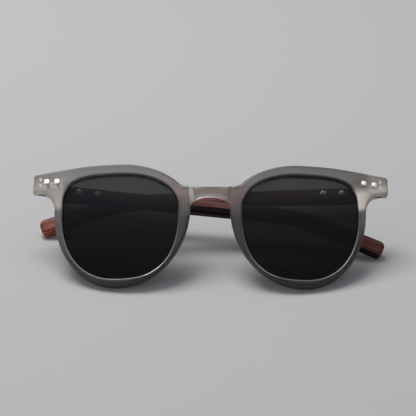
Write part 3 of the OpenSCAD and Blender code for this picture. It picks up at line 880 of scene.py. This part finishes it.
def plasticMaterial():
    p = smokePlastic
    material, tree, shader = newMaterial("smokePlastic")
    place = objectPlace(tree)
    x, y, height = splitNode(tree, place)
    across = absoluteNode(tree, x)
    edgeTone, flankTone, wallTone = splitNode(tree, attributePlace(tree, "frontTone"))
    measures = {"x": x, "across": across, "height": height,
                "edgeTone": edgeTone, "flankTone": flankTone, "wallTone": wallTone}
    masks = fadeMasks(tree, measures, p["fades"])
    masks["glint"] = glintMask(tree, across, height)
    masks["ends"] = mathNode(tree, "MAXIMUM", masks["ends"], masks["glint"])

    colour = rampNode(tree, rangeNode(tree, height, 0, 1, *p["heights"]), p["heightStops"])
    for name, tint in p["tints"].items():
        colour = mixNode(tree, masks[name], colour, tint)
    clouds = rampNode(tree, noiseNode(tree, place, p["clouds"]), p["cloudStops"])
    colour = mixNode(tree, 1.0, colour, clouds, "MULTIPLY")
    light = mathNode(tree, "MAXIMUM", masks["leftShade"], masks["leftEndLight"], masks["ends"])
    tree.links.new(mixNode(tree, 1.0, colour, light, "MULTIPLY"), shader.inputs["Base Color"])

    frost = noiseNode(tree, place, *p["frost"])
    rough = mathNode(tree, "MULTIPLY", rangeNode(tree, frost, *p["roughness"]),
                     rangeNode(tree, masks["darkFlank"], *p["roughDark"]),
                     rangeNode(tree, masks["bevel"], *p["roughBevel"]))
    tree.links.new(rough, shader.inputs["Roughness"])
    tree.links.new(bumpNode(tree, frost, *p["frostBump"]), shader.inputs["Normal"])
    shares = [rangeNode(tree, masks[name], 1, share) for name, share in p["clearShares"].items()]
    clear = mathNode(tree, "MULTIPLY", rangeNode(tree, masks["paleFlank"], *p["transmission"]), *shares)
    tree.links.new(clear, shader.inputs["Transmission Weight"])
    shader.inputs["IOR"].default_value = p["ior"]
    return material


# Dark grey lens, lighter and clearer towards its upper edge
lensTint = {
    "heights": (0.004, 0.036),
    "heightStops": ((0, (0.0035, 0.0035, 0.0045)), (0.62, (0.008, 0.008, 0.010)),
                    (1, (0.030, 0.031, 0.036))),
    "alpha": (0.91, 0.74), "clearHeights": (0.020, 0.030), "ior": 1.5, "specular": 0.22, "roughness": 0.08,
}


def lensMaterial():
    p = lensTint
    material, tree, shader = newMaterial("lensTint")
    x, y, height = splitNode(tree, objectPlace(tree))
    colour = rampNode(tree, rangeNode(tree, height, 0, 1, *p["heights"]), p["heightStops"])
    tree.links.new(colour, shader.inputs["Base Color"])
    tree.links.new(rangeNode(tree, height, *p["alpha"], *p["clearHeights"]), shader.inputs["Alpha"])
    shader.inputs["Roughness"].default_value = p["roughness"]
    shader.inputs["IOR"].default_value = p["ior"]
    shader.inputs["Specular IOR Level"].default_value = p["specular"]
    return material


# Red-brown wood with dark streaks along its length. Painted shade darkens its lower face, a painted shadow of
# the front lies on the right temple behind the bridge, and painted light makes the left one's tip paler.
# Fades are in millimetres along the bar and in its section
rightRoot = templeShape["grainOffset"]
rosewood = {
    "streak": (0.03, 1.3, 1.3), "streakNoise": (1, 5, 0.65),
    "streakStops": ((0.36, (0.014, 0.004, 0.003)), (0.50, (0.16, 0.033, 0.020)),
                    (0.64, (0.36, 0.100, 0.062))),
    "pores": (0.10, 6.0, 6.0), "poreNoise": (1, 3, 0.6), "poreShare": 0.75, "poreBump": (0.3, 0.0001),
    "poreStops": ((0.38, (0.22, 0.18, 0.16)), (0.52, (1, 1, 1))),
    # colour of the painted shade and shadow on the wood, and the gain of the painted light on the tip
    "shadeColour": (0.006, 0.003, 0.003), "tipLight": (1.9, 2.2, 2.3),
    "fades": {
        # painted shade on the lower face
        "under": (("rise", 0.93, 0, -2.9, -2.3),),
        # painted shadow of the front on the right temple's inner face, behind the bridge
        "bridgeShadow": (("rise", 0.97, 0, -0.5, 0.1), ("through", 1, 0, -1.6, -1.0),
                  ("along", 0, 1, rightRoot + 34, rightRoot + 46),
                  ("along", 1, 0, rightRoot + 78, rightRoot + 92)),
        # painted light on the left temple's tip
        "tipLight": (("along", 0, 1, 112, 128), ("along", 1, 0, templeShape["length"], rightRoot)),
    },
    "roughness": (0.30, 0.48), "specular": 0.22,
}


def woodMaterial():
    p = rosewood
    material, tree, shader = newMaterial("rosewood")
    grain = attributePlace(tree, "grainPlace")
    along, through, rise = splitNode(tree, grain)
    masks = fadeMasks(tree, {"along": along, "through": through, "rise": rise}, p["fades"])
    streaks = noiseNode(tree, stretchNode(tree, grain, p["streak"]), *p["streakNoise"])
    pores = noiseNode(tree, stretchNode(tree, grain, p["pores"]), *p["poreNoise"])
    colour = rampNode(tree, streaks, p["streakStops"])
    colour = mixNode(tree, p["poreShare"], colour, rampNode(tree, pores, p["poreStops"]), "MULTIPLY")
    # painted shadow behind the bridge
    colour = mixNode(tree, masks["bridgeShadow"], colour, p["shadeColour"])
    # painted light on the left tip, multiplied in
    colour = mixNode(tree, masks["tipLight"], colour, p["tipLight"], "MULTIPLY")
    # painted shade on the lower face, left off the lit tip
    under = mathNode(tree, "MULTIPLY", masks["under"], rangeNode(tree, masks["tipLight"], 1, 0))
    tree.links.new(mixNode(tree, under, colour, p["shadeColour"]), shader.inputs["Base Color"])
    rough = mathNode(tree, "MAXIMUM", rangeNode(tree, pores, *p["roughness"]), masks["bridgeShadow"])
    tree.links.new(rough, shader.inputs["Roughness"])
    tree.links.new(bumpNode(tree, pores, *p["poreBump"]), shader.inputs["Normal"])
    shader.inputs["Specular IOR Level"].default_value = p["specular"]
    return material


# Steel with a fine grain: brushed on the front leaves and polished on the heads; the temple leaves are the
# same steel painted dark, a painted dark reflection
steelGrain = {"stretch": (0.2, 1, 1), "detail": 4, "dullAt": 0.35, "colourAt": 0.6}
steels = {
    "brushedSteel": {"colour": (0.82, 0.80, 0.77), "dull": (0.66, 0.65, 0.62), "roughness": (0.36, 0.50),
                     "scale": 900},
    "darkReflectionSteel": {"colour": (0.060, 0.058, 0.060), "dull": (0.035, 0.034, 0.036), "roughness": (0.34, 0.46),
                  "scale": 900},
    "polishedSteel": {"colour": (0.90, 0.88, 0.86), "dull": (0.80, 0.78, 0.76), "roughness": (0.42, 0.50),
                      "scale": 700},
    "screwSteel": {"colour": (0.92, 0.90, 0.88), "dull": (0.84, 0.82, 0.80), "roughness": (0.26, 0.34),
                   "scale": 700},
}


def steelMaterial(name):
    g, p = steelGrain, steels[name]
    material, tree, shader = newMaterial(name)
    brush = noiseNode(tree, stretchNode(tree, objectPlace(tree), g["stretch"]), p["scale"], g["detail"])
    colour = rampNode(tree, brush, ((g["dullAt"], p["dull"]), (g["colourAt"], p["colour"])))
    tree.links.new(colour, shader.inputs["Base Color"])
    tree.links.new(rangeNode(tree, brush, *p["roughness"]), shader.inputs["Roughness"])
    shader.inputs["Metallic"].default_value = 1
    return material


# The object

plastic = plasticMaterial()
tint = lensMaterial()
wood = woodMaterial()
metals = {name: steelMaterial(name) for name in steels}
print("materials made")

buildFrontShell(plastic)
buildNosePads(plastic)
for side in (1, -1):
    buildLens(side, tint)
    buildRivets(side, metals["polishedSteel"])
    buildTemple(side, wood)
    buildScrews(side, metals["screwSteel"])

for name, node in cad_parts.items():
    if not node.hide_render:
        # the temple leaves take the steel painted dark, a painted dark reflection
        finish = "darkReflectionSteel" if name.endswith("temple_hinge_leaf") else "brushedSteel"
        node.data.materials.clear()
        node.data.materials.append(metals[finish])
print("object dressed")


# Floor, light and camera

studio = {
    "floorSize": 6.0, "floorColour": (0.60, 0.60, 0.60), "floorRoughness": 0.9,
    "world": (0.9, 0.93, 1.0), "worldStrength": 0.26,
    "keyPlace": (-0.30, 0.38, 1.10), "keySize": 0.7, "keyPower": 9.0,
    "fillPlace": (-0.9, -0.7, 0.35), "fillSize": 0.8, "fillPower": 1.6,
    "glossPlace": (0.0, 0.12, 1.0), "glossSize": 1.1, "glossDepth": 0.3, "glossPower": 3.4,
}


def buildFloor():
    half = studio["floorSize"] / 2
    mesh = bpy.data.meshes.new("floor")
    corners = [(-half, -half, 0), (half, -half, 0), (half, half, 0), (-half, half, 0)]
    mesh.from_pydata(corners, [], [(0, 1, 2, 3)])
    floor = bpy.data.objects.new("floor", mesh)
    bpy.context.scene.collection.objects.link(floor)
    material, tree, shader = newMaterial("floorPaper")
    shader.inputs["Base Color"].default_value = (*studio["floorColour"], 1)
    shader.inputs["Roughness"].default_value = studio["floorRoughness"]
    mesh.materials.append(material)


def addLamp(name, place, size, power):
    lamp = bpy.data.lights.new(name, "AREA")
    lamp.size = size
    lamp.energy = power
    holder = bpy.data.objects.new(name, lamp)
    holder.location = place
    holder.rotation_euler = (-Vector(place)).to_track_quat("-Z", "Y").to_euler()
    bpy.context.scene.collection.objects.link(holder)
    return holder


def lightStudio():
    addLamp("keyLamp", studio["keyPlace"], studio["keySize"], studio["keyPower"])
    addLamp("fillLamp", studio["fillPlace"], studio["fillSize"], studio["fillPower"])
    # an overhead strip that only makes highlights on metal and polished edges
    gloss = addLamp("glossLamp", studio["glossPlace"], studio["glossSize"], studio["glossPower"])
    gloss.data.shape = "RECTANGLE"
    gloss.data.size_y = studio["glossDepth"]
    gloss.visible_diffuse = False
    gloss.visible_transmission = False
    world = bpy.data.worlds.new("studioWorld")
    world.use_nodes = True
    background = world.node_tree.nodes["Background"]
    background.inputs["Color"].default_value = (*studio["world"], 1)
    background.inputs["Strength"].default_value = studio["worldStrength"]
    bpy.context.scene.world = world


# The camera of the photograph, with its target as a pixel of it
view = {
    "distance": 0.6, "elevation": 26.4, "roll": 0.40, "focalPixels": 1500,
    "imagePixels": 416, "targetX": 210.1, "targetY": 227.2, "sensor": 36, "clipStart": 0.01,
}


def addCamera():
    # the front's own origin is the target, and the shift puts it at its pixel of the photograph
    target = Vector(toRow(np.zeros(3)) * millimetre)
    elevation = math.radians(view["elevation"])
    offset = Vector((0, -math.cos(elevation), math.sin(elevation))) * view["distance"]
    camera = bpy.data.cameras.new("photoCamera")
    camera.sensor_width = view["sensor"]
    camera.lens = view["focalPixels"] / view["imagePixels"] * view["sensor"]
    half = view["imagePixels"] / 2
    camera.shift_x = -(view["targetX"] - half) / view["imagePixels"]
    camera.shift_y = (view["targetY"] - half) / view["imagePixels"]
    camera.clip_start = view["clipStart"]
    holder = bpy.data.objects.new("photoCamera", camera)
    turn = (-offset).to_track_quat("-Z", "Y").to_matrix().to_4x4()
    roll = Matrix.Rotation(math.radians(view["roll"]), 4, "Z")
    holder.matrix_world = Matrix.Translation(target + offset) @ turn @ roll
    bpy.context.scene.collection.objects.link(holder)
    bpy.context.scene.camera = holder


buildFloor()
lightStudio()
addCamera()
bpy.context.scene.view_settings.view_transform = "Standard"
print("stage set")
